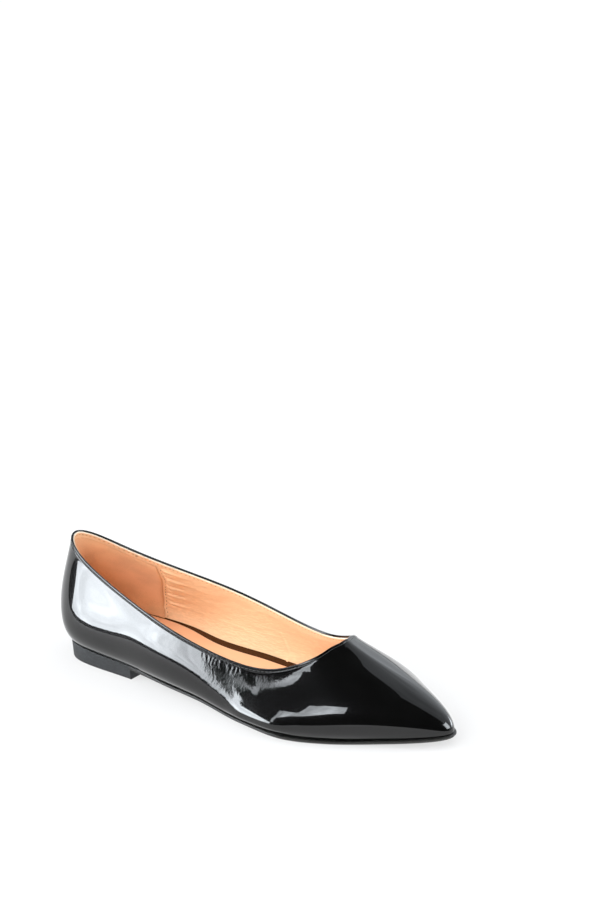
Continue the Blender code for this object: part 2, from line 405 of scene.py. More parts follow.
def smooth_between(t, width, start, start_slope, end, end_slope):
    """The curve from start to end, t of its width along, with a given slope at each end."""
    return (
        (2 * t**3 - 3 * t**2 + 1) * start
        + (t**3 - 2 * t**2 + t) * width * start_slope
        + (3 * t**2 - 2 * t**3) * end
        + (t**3 - t**2) * width * end_slope
    )


def spline_slopes(rows):
    """Slopes of the smooth closed curve through the rows."""
    count = len(rows)
    system = 4 * np.eye(count) + np.roll(np.eye(count), 1, 0) + np.roll(np.eye(count), -1, 0)
    return np.linalg.solve(system, 3 * (np.roll(rows, -1, 0) - np.roll(rows, 1, 0)))


def spline_at(rows, slopes, places):
    """Points of the closed curve at places counted in rows."""
    k = np.floor(places).astype(int) % len(rows)
    after = (k + 1) % len(rows)
    t = (places - np.floor(places))[:, None]
    return smooth_between(t, 1, rows[k], slopes[k], rows[after], slopes[after])


def smooth_steps(table, x):
    """Height at x of the smooth line through the table's points, flat between equal heights."""
    xs, zs = np.array(table, float).T
    rise = np.diff(zs) / np.diff(xs)
    before, behind = rise[:-1], rise[1:]
    same_way = before * behind > 0
    slopes = np.zeros(len(xs))
    slopes[0], slopes[-1] = rise[0], rise[-1]
    slopes[1:-1][same_way] = 2 * (before * behind)[same_way] / (before + behind)[same_way]
    k = np.clip(np.searchsorted(xs, x) - 1, 0, len(xs) - 2)
    width = xs[k + 1] - xs[k]
    t = (x - xs[k]) / width
    return smooth_between(t, width, zs[k], slopes[k], zs[k + 1], slopes[k + 1])


def unit(vectors):
    return vectors / np.maximum(np.linalg.norm(vectors, axis=-1, keepdims=True), 1e-12)


def smooth_rise(x, low, high):
    """0 below low, 1 above high and a smooth step between them."""
    t = np.clip((x - low) / (high - low), 0, 1)
    return t * t * (3 - 2 * t)


def section_loop():
    """The table as one closed loop: the outer side from heel to toe, then the inner side back."""
    rows = [dict(zip(COLUMNS, row)) for row in SECTIONS]
    sided = [(row, "outer", -1) for row in rows]
    sided += [(row, "inner", 1) for row in rows[-2:0:-1]]
    loop = []
    for row, side, sign in sided:
        foot = [row["foot_x"], sign * row["foot_" + side]]
        top = [row["top_x"], sign * row["top_" + side], row["top_z"]]
        bend = [row[name] for name in ("foot_deg", "foot_pull", "top_deg", "top_pull")]
        loop.append(foot + top + bend)
    return np.array(loop)


def even_places(loop, slopes, count):
    """Places of the loop, as many on the outer side as on the inner one, evenly apart."""
    fine = np.linspace(0, len(loop), FINE_STEPS + 1)
    points = spline_at(loop, slopes, fine)
    foot_steps = np.linalg.norm(np.diff(points[:, :2], axis=0), axis=1)
    top_steps = np.linalg.norm(np.diff(points[:, 2:5], axis=0), axis=1)
    along = np.concatenate([[0], np.cumsum(foot_steps + top_steps)])
    toe = np.interp(TOE_ROW, fine, along)
    half = count // 2
    outer = np.linspace(0, toe, half + 1)[:-1]
    inner = np.linspace(toe, along[-1], half + 1)[:-1]
    return np.interp(np.concatenate([outer, inner]), along, fine)


class Skin:
    """The outer skin of the upper: a Bezier from foot line to topline at each place round it.

    Everything is in millimetres from the zero of the tables."""

    def __init__(self, count):
        loop = section_loop()
        slopes = spline_slopes(loop)
        curve = spline_at(loop, slopes, even_places(loop, slopes, count))
        foot_z = smooth_steps(UNDERSIDE, curve[:, 0]) + sizes().sole / MM
        self.count = count
        self.foot = np.column_stack([curve[:, :2], foot_z])
        self.top = curve[:, 2:5]
        along = np.roll(self.foot, -1, 0) - np.roll(self.foot, 1, 0)
        self.out = unit(np.column_stack([along[:, 1], -along[:, 0], np.zeros(count)]))
        chord = self.top - self.foot
        chord_long = np.linalg.norm(chord, axis=1, keepdims=True)
        flat = chord * (1, 1, 0)
        reach = np.linalg.norm(flat, axis=1, keepdims=True) / OVER_FOOT_REACH
        over_foot = reach / (1 + reach**REACH_POWER) ** (1 / REACH_POWER)
        inward = unit(unit(flat) * over_foot - self.out * (1 - over_foot))
        foot_deg, foot_pull, top_deg, top_pull = curve[:, 5:].T[:, :, None]
        up = np.array((0, 0, 1.0))
        leaving = self.out * np.cos(np.radians(foot_deg)) + up * np.sin(np.radians(foot_deg))
        arriving = inward * np.cos(np.radians(top_deg)) + up * np.sin(np.radians(top_deg))
        self.near_foot = self.foot + leaving * chord_long * foot_pull
        self.near_top = self.top - arriving * chord_long * top_pull
        self.top_speed = (3 * chord_long * top_pull)[:, 0]
        steps = np.linalg.norm(np.diff(self.top, axis=0, append=self.top[:1]), axis=1)
        self.around = np.concatenate([[0], np.cumsum(steps)])

    def at(self, v, proud):
        """Points moved out by proud, with the skin's normals and its rising directions.

        v is 0 at the foot line and 1 at the topline, and v and proud hold a row for each row of
        points, with one column or a column for each place round."""
        v = np.broadcast_to(v, (len(v), self.count))[..., None]
        ends = (self.foot, self.near_foot, self.near_top, self.top)
        weights = ((1 - v) ** 3, 3 * (1 - v) ** 2 * v, 3 * (1 - v) * v**2, v**3)
        points = sum(weight * end for weight, end in zip(weights, ends))
        rising = (
            3 * (1 - v) ** 2 * (self.near_foot - self.foot)
            + 6 * (1 - v) * v * (self.near_top - self.near_foot)
            + 3 * v**2 * (self.top - self.near_top)
        )
        around = np.roll(points, -1, 1) - np.roll(points, 1, 1)
        normals = unit(np.cross(around, rising))
        return points + normals * np.asarray(proud)[..., None], normals, unit(rising)

    def below_top(self, distance):
        """The place v that lies this far under the topline, for each place round."""
        return 1 - np.asarray(distance)[..., None] / self.top_speed

    def at_height(self, over_foot, proud):
        """The place v where the moved skin is this high over the foot line, for each place round."""
        rows = np.linspace(0, HIGHEST_FOOT_ROW, FOOT_ROW_STEPS)[:, None]
        points, _, _ = self.at(rows, np.full(rows.shape, proud))
        over = points[:, :, 2] - self.foot[:, 2]
        wanted = np.broadcast_to(over_foot, self.count)
        return np.array([np.interp(wanted[i], over[:, i], rows[:, 0]) for i in range(self.count)])

    def foot_ring(self, outward, up=0.0):
        """The foot line moved outwards and up."""
        return self.foot + self.out * np.asarray(outward).reshape(-1, 1) + np.array((0, 0, up))


def sizes():
    return bpy.context.scene.flat_shoe_sizes


def colours():
    return bpy.context.scene.flat_shoe_colours


def lay_grid(bm, points, closed_round=False, closed_over=False, uv=None):
    """Lays a grid over rows of points and returns its corners.

    points holds a row for each row of the grid. Round and over say whether the last place joins the
    first one, and the last row the first row. uv holds a pair for each corner, seams included."""
    rows, places = points.shape[:2]
    wide, high = places - 1 + closed_round, rows - 1 + closed_over
    layer = bm.loops.layers.uv.verify()
    made = bmesh.ops.create_grid(bm, x_segments=wide, y_segments=high, size=0.5)["verts"]
    cell = {v: (round((v.co.y + 0.5) * high), round((v.co.x + 0.5) * wide)) for v in made}
    if uv is not None:
        for face in {face for v in made for face in v.link_faces}:
            for loop in face.loops:
                loop[layer].uv = uv[cell[loop.vert]]
    middle = np.array((MIDDLE_X, MIDDLE_Y, 0))
    placed = (points - middle) * MM
    for v, (row, place) in cell.items():
        v.co = placed[row % rows, place % places]
    return made


def across(ring, count):
    """Rows of points from each place of a ring to the one opposite, from its start to its far end."""
    half = len(ring) // 2
    outer = ring[: half + 1]
    inner = np.concatenate([ring[:1], ring[: half - 1 : -1]])
    share = np.linspace(0, 1, count + 1)[None, :, None]
    return outer[:, None] * (1 - share) + inner[:, None] * share


def new_object(name, bm, material):
    """Turns the bmesh into an object of the scene."""
    mesh = bpy.data.meshes.new(name)
    bm.to_mesh(mesh)
    bm.free()
    mesh.materials.append(material)
    made = bpy.data.objects.new(name, mesh)
    bpy.context.scene.collection.objects.link(made)
    return made


def make_piece(name, bm, material, replaced, sharp_degrees=40):
    """Turns the bmesh into a piece that rides on the shoe and stands for a node of the model."""
    bmesh.ops.remove_doubles(bm, verts=bm.verts, dist=2e-6)
    bmesh.ops.dissolve_degenerate(bm, edges=bm.edges, dist=1e-7)
    bmesh.ops.recalc_face_normals(bm, faces=bm.faces)
    piece = new_object(name, bm, material)
    piece.data.shade_smooth()
    piece.data.set_sharp_from_angle(angle=np.radians(sharp_degrees))
    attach(piece, BODY)
    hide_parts(replaced)
    return piece


def add(tree, kind, inputs=None, **settings):
    """Adds a node with its settings; an input given as a socket is linked, any other is set."""
    node = tree.nodes.new(kind)
    for name, value in settings.items():
        setattr(node, name, value)
    for name, value in (inputs or {}).items():
        if isinstance(value, bpy.types.NodeSocket):
            tree.links.new(value, node.inputs[name])
        else:
            node.inputs[name].default_value = value
    return node


def new_finish(name, **constants):
    """A material with its Principled shader, whose sockets take the constants."""
    material = bpy.data.materials.new(name)
    material.use_nodes = True
    tree = material.node_tree
    shader = tree.nodes["Principled BSDF"]
    for socket, value in constants.items():
        shader.inputs[socket.replace("_", " ")].default_value = value
    return material, tree, shader


def per_metre(millimetres):
    """Scale of a noise whose grain is this many millimetres."""
    return 1 / (millimetres * MM)


def rgba(three):
    return (*three, 1.0)


def blended(tree, factor, low, high):
    """A colour between two, each a socket or four numbers."""
    return add(
        tree, "ShaderNodeMix", {0: factor, 6: low, 7: high}, data_type="RGBA"
    ).outputs[2]


def tinted(tree, factor, low, high):
    """A colour that goes from low to high with the factor."""
    return blended(tree, factor, rgba(low), rgba(high))


def stretched_noise(tree, place, sizes_mm, detail=2.0):
    """Noise whose grain has its own size along X, Y and Z."""
    scaled = add(
        tree, "ShaderNodeMapping", {"Vector": place, "Scale": [per_metre(s) for s in sizes_mm]}
    ).outputs["Vector"]
    return add(
        tree, "ShaderNodeTexNoise", {"Vector": scaled, "Scale": 1.0, "Detail": detail}
    ).outputs["Fac"]


def bump(tree, height, distance_mm, strength=1.0, normal=None):
    inputs = {"Height": height, "Distance": distance_mm * MM, "Strength": strength}
    if normal is not None:
        inputs["Normal"] = normal
    return add(tree, "ShaderNodeBump", inputs).outputs["Normal"]


def ranged(tree, value, low, high, to_low=0.0, to_high=1.0):
    """The value moved from one range to another with a smooth step."""
    inputs = {
        "Value": value, "From Min": low, "From Max": high, "To Min": to_low, "To Max": to_high,
    }
    return add(tree, "ShaderNodeMapRange", inputs, interpolation_type="SMOOTHSTEP").outputs[0]


def maths(tree, operation, *values):
    return add(
        tree, "ShaderNodeMath", dict(enumerate(values)), operation=operation
    ).outputs[0]


def object_place(tree):
    return add(tree, "ShaderNodeTexCoord").outputs["Object"]


def mottled(tree, value, tone, darkest, low=0.3, high=0.7):
    """The tone, going down to a darker share of it where the noise is low."""
    return tinted(tree, ranged(tree, value, low, high), [c * darkest for c in tone], tone)


def dress(tree, shader, base, relief):
    tree.links.new(base, shader.inputs["Base Color"])
    tree.links.new(relief, shader.inputs["Normal"])


def near_point(tree, place, x, y, z, radius):
    """1 near a point of the tables and 0 past the radius, in millimetres."""
    centre = ((x - MIDDLE_X) * MM, (y - MIDDLE_Y) * MM, z * MM)
    away = add(
        tree, "ShaderNodeVectorMath", {0: place, 1: centre}, operation="DISTANCE"
    ).outputs["Value"]
    return ranged(tree, away, 0.0, radius * MM, 1.0, 0.0)


def patent_leather():
    """Corrected calf leather under a cast clear film: a hard mirror with a faint orange peel."""
    # Real name: patent leather. The film gives a crisp second reflection over a black ground, and
    # the ball of the shoe, which bends, has fine wrinkles that break the reflections up.
    material, tree, shader = new_finish(
        "patent_leather", Roughness=0.25, IOR=1.5, Specular_IOR_Level=0.05, Coat_Weight=1.0,
        Coat_Roughness=0.01, Coat_IOR=1.5,
    )
    place = object_place(tree)
    ground = mottled(tree, stretched_noise(tree, place, (9, 9, 9)), colours().patent, 0.8)
    peel = bump(tree, stretched_noise(tree, place, (2.6, 2.6, 2.6), 1.0), 0.006)
    # Wrinkles are 1.3 to 2.2 mm across and show only where the ball of the foot bends the shoe
    wrinkles = stretched_noise(tree, place, (1.3, 2.0, 2.2), 4.0)
    bent = maths(tree, "ADD", *(near_point(tree, place, *spot) for spot in BENDING_SPOTS))
    wrinkled = bump(tree, maths(tree, "MULTIPLY", wrinkles, bent), 0.11, normal=peel)
    dress(tree, shader, ground, wrinkled)
    tree.links.new(wrinkled, shader.inputs["Coat Normal"])
    return material


def lining_leather():
    """Split pigskin lining, sealed with a thin matt finish: peach, with a fine pulled grain."""
    # The grain is pulled along the shoe by lasting, so it shows as short level wrinkles. The map
    # gives the distance round the topline and down from it, in metres.
    material, tree, shader = new_finish("lining_leather", Roughness=0.5, IOR=1.45)
    coords = add(tree, "ShaderNodeTexCoord")
    place = coords.outputs["Object"]
    down = add(tree, "ShaderNodeSeparateXYZ", {0: coords.outputs["UV"]}).outputs["Y"]
    body = mottled(tree, stretched_noise(tree, place, (30, 30, 14)), colours().lining, 0.93)
    # Fine grain is about 0.5 mm in the real leather and drawn twice as coarse to show
    grain = stretched_noise(tree, place, (3.4, 3.4, 0.9), 3.0)
    darker = rgba([c * 0.9 for c in colours().lining])
    grained = blended(tree, ranged(tree, grain, 0.35, 0.6), body, darker)
    edge = ranged(tree, down, *(place * MM for place in LINING_EDGE_FADES))
    edged = blended(tree, edge, rgba(colours().lining_edge), grained)
    # The pinhole is not cut: its dark inside is painted shade, a spot of the lining's colour at 0.12
    hole = near_point(tree, place, *PINHOLE_SHADE_SPOT)
    with_pinhole_shade = blended(tree, hole, edged, rgba([c * 0.12 for c in colours().lining]))
    fine = bump(tree, grain, 0.45)
    pores = stretched_noise(tree, place, (1.1, 1.1, 0.8), 1.0)
    dress(tree, shader, with_pinhole_shade, bump(tree, pores, 0.05, normal=fine))
    return material


def grip_suede():
    """Microfibre suede of the heel grip: darker tan, matt, with a soft nap."""
    material, tree, shader = new_finish(
        "grip_suede", Roughness=0.85, IOR=1.45, Specular_IOR_Level=0.2, Sheen_Weight=0.25,
        Sheen_Roughness=0.5,
    )
    place = object_place(tree)
    nap = stretched_noise(tree, place, (0.7, 0.7, 0.7), 2.0)
    brushed = stretched_noise(tree, place, (16, 16, 9), 1.0)
    shade = maths(tree, "MULTIPLY_ADD", nap, 0.35, maths(tree, "MULTIPLY", brushed, 0.65))
    tan = mottled(tree, shade, colours().grip, 0.85, 0.35, 0.65)
    dress(tree, shader, tan, bump(tree, nap, 0.06))
    return material


def sock_leather():
    """The same sealed lining leather, over a thin foam: smoother, with small pores."""
    material, tree, shader = new_finish("sock_leather", Roughness=0.45, IOR=1.45)
    place = object_place(tree)
    body = mottled(tree, stretched_noise(tree, place, (26, 14, 14)), colours().sock, 0.9)
    pores = stretched_noise(tree, place, (1.3, 1.3, 1.3), 2.0)
    dress(tree, shader, body, bump(tree, pores, 0.06))
    return material


def insole_board():
    """Pressed cellulose board, dyed dark brown: matt, with short fibres."""
    material, tree, shader = new_finish("insole_board", Roughness=0.9, Specular_IOR_Level=0.2)
    place = object_place(tree)
    fibres = stretched_noise(tree, place, (2.4, 0.7, 0.7), 3.0)
    brown = mottled(tree, fibres, colours().board, 0.7)
    dress(tree, shader, brown, bump(tree, fibres, 0.08))
    return material


def moulded_rubber(name, tone, roughness, grain_mm, depth_mm):
    """Moulded rubber: a dull black with the mould's fine spark-eroded grain and pale dust in it."""
    material, tree, shader = new_finish(name, Roughness=roughness, IOR=1.52)
    place = object_place(tree)
    grain = stretched_noise(tree, place, (grain_mm, grain_mm, grain_mm), 3.0)
    dust = stretched_noise(tree, place, (3.2, 3.2, 1.6), 4.0)
    mottle = maths(tree, "MULTIPLY_ADD", grain, 0.5, maths(tree, "MULTIPLY", dust, 0.5))
    dark, dusty = [c * 0.6 for c in tone], [c * 1.7 for c in tone]
    black = tinted(tree, ranged(tree, mottle, 0.35, 0.7), dark, dusty)
    dress(tree, shader, black, bump(tree, grain, depth_mm))
    return material


def sewing_thread(name, tone):
    """Bonded nylon thread, twisted: its turns drawn as a fine mottle with a bump, and a soft shine.
    """
    material, tree, shader = new_finish(name, Roughness=0.45, IOR=1.53, Sheen_Weight=0.15)
    place = object_place(tree)
    # Twist is about 0.3 mm in the real thread and drawn as coarse as it shows
    twist = stretched_noise(tree, place, (0.5, 0.5, 0.5), 1.0)
    dress(tree, shader, mottled(tree, twist, tone, 0.6), bump(tree, twist, 0.05))
    return material


def wave_heights(points, long_mm, seed):
    """Smooth noise at the points, about -1 to 1."""
    flat = (points / long_mm).reshape(-1, 3)
    shift = Vector((seed, 0, 0))
    heights = [noise.noise(Vector(point) + shift) for point in flat]
    return np.array(heights).reshape(points.shape[:-1])


def crease_depths(x, down):
    """How deep the listed creases press in at each point."""
    depth = np.zeros(x.shape)
    for from_x, from_down, to_x, to_down, wide, deep in CREASES:
        run = np.array((to_x - from_x, to_down - from_down))
        share = ((x - from_x) * run[0] + (down - from_down) * run[1]) / (run @ run)
        share = np.clip(share, 0, 1)
        away = np.hypot(x - from_x - share * run[0], down - from_down - share * run[1])
        depth += deep * np.exp(-((away / wide) ** 2))
    return depth


def pucker_depths(skin, down):
    """How deep the small puckers under the topline press in at each point."""
    around = skin.around[:-1]
    (far, slow), (near, quick) = PUCKER_SWINGS
    leaning = np.sin(around / quick + down * PUCKER_LEAN)
    shifted = around + far * np.sin(around / slow) + near * leaning
    wave = np.cos(2 * np.pi * shifted / PUCKER_EACH)
    long_swing, short_swing = PUCKER_DEPTH_SWINGS
    uneven = 0.6 + 0.4 * np.sin(around / long_swing) * np.sin(around / short_swing)
    fading = smooth_rise(down, BEAD_FOOT - 0.4, PUCKER_FROM) * (
        1 - smooth_rise(down, PUCKER_FROM, PUCKER_TO)
    )
    # Only where the topline curves at the ball is the patent drawn in enough to show
    curved = np.exp(-(((skin.top[:, 0] - PUCKER_MIDDLE_X) / PUCKER_REACH) ** 2))
    return PUCKER_DEEP * wave * uneven * curved * fading


def ball_fullness(points):
    """How far the patent swells out low beside the ball of the foot at each point."""
    x, y, z = points[..., 0], points[..., 1], points[..., 2]
    along = smooth_rise(x, *BALL_FULL_FROM) * (1 - smooth_rise(x, *BALL_FULL_TO)) * (y < 0)
    up = smooth_rise(z, *BALL_FULL_SWELLS) * (1 - smooth_rise(z, *BALL_FULL_FADES))
    return BALL_FULL * along * up


def outside_relief(skin, v):
    """How far the patent outside stands proud of the last at each point, in millimetres."""
    points, _, _ = skin.at(v, np.zeros(v.shape))
    down = (1 - v) * skin.top_speed
    waves = WAVE_DEEP * wave_heights(points, WAVE_LONG, 3.0)
    fade = smooth_rise(down, *WAVE_STARTS) * smooth_rise(v, *WAVE_FOOT)
    creases = crease_depths(points[..., 0], down) * (skin.out[:, 1] < 0)
    from_back = np.minimum(skin.around[:-1], skin.around[-1] - skin.around[:-1])
    seam = BACK_SEAM_DEEP * np.exp(-((from_back / BACK_SEAM_WIDE) ** 2))
    plump = smooth_steps(PLUMP, skin.top[:, 0]) * (1 - np.exp(-down / PLUMP_REACHED))
    plump = plump * (1 - smooth_rise(down, *PLUMP_FADES)) * smooth_rise(v, *PLUMP_FOOT)
    pressed = creases + pucker_depths(skin, down) + seam * smooth_rise(v, *SEAM_FOOT)
    return waves * fade + plump + ball_fullness(points) - pressed


def upper_patent_rows(skin):
    """Rows of points of the patent: up the outside, over the folded topline and down inside."""
    wall, proud = sizes().wall / MM, sizes().bead_out / MM
    lining, skived = sizes().lining / MM, sizes().skived / MM
    half_roll = (FOLD_THICK + proud) / 2
    spread = np.linspace(0, 1, OUTER_ROWS)[:-1, None] ** ROWS_TOWARDS_FOOT
    outer_v = spread * skin.below_top(BEAD_FOOT)
    outer, _, _ = skin.at(outer_v, outside_relief(skin, outer_v))
    downs = np.array(BEAD_ROWS)
    rise = proud * (1 - smooth_rise(downs, BEAD_FOOT - BEAD_STEP, BEAD_FOOT))
    groove = STITCH_GROOVE * np.exp(-(((downs - STITCH_DOWN) / STITCH_GROOVE_WIDE) ** 2))
    bead_v = skin.below_top(downs)
    kept = smooth_rise(downs, BEAD_SMOOTH, BEAD_FOOT)[:, None]
    bead_proud = (rise - groove)[:, None] + outside_relief(skin, bead_v) * kept
    bead, _, _ = skin.at(bead_v, bead_proud)
    under_v = skin.below_top([half_roll])
    under, normals, rising = skin.at(under_v, np.full(under_v.shape, proud))
    middle = under[0] - normals[0] * half_roll
    roll = [
        middle + half_roll * (normals[0] * np.cos(angle) + rising[0] * np.sin(angle))
        for angle in np.radians(ROLL_DEGREES)
    ]
    inside_v = skin.below_top([half_roll, half_roll + FOLD_DOWN])
    behind_lining = -(wall - lining)
    fold, _, _ = skin.at(inside_v, np.array([[-FOLD_THICK], [behind_lining]]))
    hidden_v = np.linspace(0.9, 0, HIDDEN_ROWS)[:, None] * inside_v[-1]
    hidden_proud = np.interp(hidden_v, (0, SKIVED_SHARE), (-skived, behind_lining))
    hidden, _, _ = skin.at(hidden_v, hidden_proud)
    narrow = WIDEST_TURNED_UNDER * half_widths(skin)
    reach = np.minimum(narrow, sizes().turned_under / MM).clip(LEAST_TURNED_UNDER)
    turned = [skin.foot_ring(-reach, skived), skin.foot_ring(-reach)]
    return np.array([*outer, *bead, *under, *roll, *fold, *hidden, *turned])


def half_widths(skin):
    """Half the foot line's width at each place round."""
    return abs(skin.foot[:, 1] - np.roll(skin.foot[::-1, 1], 1)) / 2


def gather_depths(x, z):
    """Ridges and troughs that fan out forward from the heel grip's seam."""
    edge_z, edge_x = np.array(GRIP_EDGE).T
    forward = x - np.interp(z, edge_z, edge_x)
    depth = np.zeros(x.shape)
    for start_z, fall, reach, deep in GATHERS:
        wander = GATHER_WANDER * np.sin(forward / GATHER_SWING + start_z)
        line = start_z - fall * forward / GATHER_SPAN + wander
        wide = GATHER_WIDE * (1 + forward.clip(0) / GATHER_WIDENS)
        ridge = np.exp(-(((z - line) / wide) ** 2))
        fading = np.exp(-((forward.clip(0) / reach) ** 2) * GATHER_FADE)
        fading = smooth_rise(forward, GATHER_START, GATHER_FULL) * fading
        depth += GATHER_DEEP * deep * ridge * fading
    return depth


def lining_relief(skin, v):
    """How far the lining stands into the shoe at each point, in millimetres."""
    points, _, _ = skin.at(v, np.zeros(v.shape))
    x, z = points[..., 0], points[..., 2]
    down = (1 - v) * skin.top_speed
    seam_z, seam_x = np.array(LINING_SEAM).T
    from_seam = x - np.interp(z, seam_z, seam_x)
    seam = LINING_SEAM_HIGH * np.exp(-((from_seam / LINING_SEAM_WIDE) ** 2))
    seam = seam * (1 - smooth_rise(z, *LINING_SEAM_FADES))
    step = LINING_LAP_HIGH * smooth_rise(from_seam, -0.5, 0.5)
    step = step * (1 - smooth_rise(z, *LINING_SEAM_FADES))
    high, long = LINING_WRINKLES
    pulled = high * wave_heights(points * (0.3, 0.3, 1.0), long, 11.0)
    tape = TAPE_THICK * (1 - smooth_rise(down, *TAPE_DOWN)) * smooth_rise(x, *TAPE_FROM)
    high, long = LINING_WAVES
    slow = high * wave_heights(points, long, 5.0)
    from_stitches = (down - LINING_STITCH_DOWN) / LINING_FURROW_WIDE
    stitched = LINING_FURROW_DEEP * np.exp(-(from_stitches**2))
    inside = smooth_rise(down, *LINING_RELIEF_STARTS)
    return (gather_depths(x, z) + seam + step + pulled + slow + tape) * inside - stitched


def lining_rows(skin):
    """Rows of points of the lining: down its face, and up its back against the stiffener."""
    wall, lining = sizes().wall / MM, sizes().lining / MM
    skived = sizes().skived / MM
    edge_down, edge_share = np.array(LINING_EDGE).T
    top_v = skin.below_top(edge_down)
    lip, _, _ = skin.at(top_v, -(wall - lining) - lining * edge_share[:, None])
    spread = np.linspace(1, 0, LINING_ROWS)[:, None]
    foot_v = skin.at_height(skived + 0.1, -wall)[None]
    face_v = foot_v + spread * (skin.below_top([LINING_FACE_FROM]) - foot_v)
    face, _, _ = skin.at(face_v, -wall - lining_relief(skin, face_v))
    back_v = np.linspace(0, 1, LINING_BACK_ROWS)[:, None] * (top_v[:1] - foot_v) + foot_v
    back, _, _ = skin.at(back_v, np.full(back_v.shape, -(wall - lining) - 0.04))
    points = np.array([*lip, *face, *back])
    downs = (1 - np.concatenate([top_v, face_v, back_v])) * skin.top_speed
    return points, downs


def skin_map(skin, downs):
    """A map whose pair is the distance round the topline and down from it, in metres."""
    downs = np.concatenate([downs, downs[:1]])
    downs = np.concatenate([downs, downs[:, :1]], axis=1)
    around = np.broadcast_to(skin.around, downs.shape)
    return np.stack([around, downs], axis=-1) * MM


def grip_rows(skin):
    """Rows of points of the heel grip, from its front edge on one side round to the other."""
    outside = -(sizes().wall / MM) - GRIP_GAP
    low_v = skin.at_height(GRIP_LOW, outside)
    high_v = skin.below_top([GRIP_TOP_DOWN])[0]
    share = np.linspace(0, 1, GRIP_ROWS)[:, None]
    rows_v = low_v + share * (high_v - low_v)
    points, normals, _ = skin.at(rows_v, np.full(rows_v.shape, outside))
    edge_z, edge_x = np.array(GRIP_EDGE).T
    near = skin.count // 4
    taken, facing = [], []
    for row, row_normals in zip(points, normals):
        outer = first_past(row[:near], edge_z, edge_x)
        inner = first_past(row[: -near - 1 : -1], edge_z, edge_x)
        wanted = np.linspace(-inner - 1, outer, GRIP_COLUMNS)
        places = np.arange(-near, near)
        taken.append(line_at(row[places], places, wanted))
        facing.append(line_at(row_normals[places], places, wanted))
    return np.array(taken), unit(np.array(facing))


def line_at(line, places, wanted):
    """Points of a line at the wanted places, where its own points lie at the places."""
    return np.stack([np.interp(wanted, places, line[:, i]) for i in range(3)], axis=-1)


def first_past(row, edge_z, edge_x):
    """The place, with its fraction, where a row of points passes the grip's front edge."""
    over = row[:, 0] - np.interp(row[:, 2], edge_z, edge_x)
    after = int(np.argmax(over > 0))
    before = after - 1
    return before - over[before] / (over[after] - over[before])


def stitch(bm, middle, along, normal, long, thick):
    """One stitch: a small stretched ball with pointed ends, half sunk in the leather."""
    side = np.cross(normal, along)
    place = Matrix(np.column_stack([along * long / 2, side * thick / 2, normal * thick / 2]).tolist())
    centre = (middle - np.array((MIDDLE_X, MIDDLE_Y, 0))) * MM
    matrix = Matrix.Translation(Vector(centre)) @ place.to_4x4()
    bmesh.ops.create_icosphere(bm, subdivisions=2, radius=MM, matrix=matrix)


def stitch_row(bm, skin, down, proud, long, thick):
    """Stitches at every place of the skin, down under the topline."""
    v = skin.below_top([down])
    points, normals, _ = skin.at(v, np.full(v.shape, proud))
    along = unit(np.roll(points[0], -1, 0) - np.roll(points[0], 1, 0))
    for middle, way, normal in zip(points[0], along, normals[0]):
        stitch(bm, middle, way, normal, long, thick)


def sock_gap_share(skin):
    """How much of the sock's gap there is: less at the pointed toe and behind the heel grip."""
    narrow = np.minimum(half_widths(skin) / SOCK_GAP_NARROWS, 1.0)
    forward = smooth_rise(skin.foot[:, 0], *BOARD_RISE_FROM)
    return (SOCK_GAP_AT_HEEL + (1 - SOCK_GAP_AT_HEEL) * forward) * narrow


def grip_stitch_places(outer, normals):
    """Evenly spaced points just in front of the heel grip's edges, with their facings."""
    found = []
    for side in (0, -1):
        line, facing = outer[:, side], normals[:, side]
        away = unit(line - outer[:, 4 if side == 0 else -5])
        line = line + away * GRIP_STITCH_FORWARD
        steps = np.linalg.norm(np.diff(line, axis=0), axis=1)
        along = np.concatenate([[0], np.cumsum(steps)])
        for spot in np.arange(GRIP_STITCH_PITCH, along[-1] - 2, GRIP_STITCH_PITCH):
            middle = line_at(line, along, spot)
            normal = line_at(facing, along, spot)
            ahead = line_at(line, along, spot + 0.5)
            found.append((middle, unit(ahead - middle), unit(normal)))
    return found


def sole_band(skin):
    """Rows of the sole's edge: the bevel underneath, the proud ridge and the top."""
    thick = sizes().sole / MM
    forward = smooth_rise(skin.foot[:, 0], *RIDGE_STARTS)
    ridge = HEEL_FLUSH + (sizes().sole_ridge / MM - HEEL_FLUSH) * forward
    under = -0.2 * forward
    profile = (
        # outward of the foot line, below the foot line
        (under - 0.3, thick),
        (under, thick - 0.02),
        (HEEL_FLUSH - 0.3 * forward, thick - 0.3),
        (HEEL_FLUSH, thick - 0.75),
        (HEEL_FLUSH + 0.15 * forward, 1.75),
        (ridge - 0.1 * forward, 1.5),
        (ridge, 1.3),
        (ridge, 0.75),
        (ridge - 0.12, 0.5),
        (ridge - 0.4, 0.35),
        (ridge - 2.5, 0.32),
    )
    return np.array([skin.foot_ring(out + 0 * ridge, -below) for out, below in profile])


def heel_rows(skin):
    """Rows of the heel block's side, from the floor up to the sole, with its straight breast."""
    low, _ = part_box("heel")
    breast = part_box("heel")[1].x / MM + MIDDLE_X + HEEL_BREAST_FORWARD
    bevel = sizes().heel_bevel / MM
    profile = (
        # outward of the foot line, height over the floor, share of the way to the sole's top edge
        (-0.45, 0.0, 0.0),
        (-0.2, 0.06, 0.0),
        (0.05, bevel * 0.5, 0.0),
        (0.18, bevel, 0.0),
        (0.35, bevel, 0.33),
        (0.55, bevel, 0.67),
        (HEEL_FLUSH + 0.1, bevel, 0.97),
        (HEEL_FLUSH - 0.1, bevel, 1.0),
    )
    rows = []
    for outward, height, share in profile:
        ring = heel_ring(skin.foot_ring(np.full(skin.count, outward)), breast)
        top = smooth_steps(UNDERSIDE, ring[:, 0]) + sizes().sole / MM - 0.4
        ring[:, 2] = low.z / MM + height + share * (top - height)
        rows.append(ring)
    return np.array(rows)


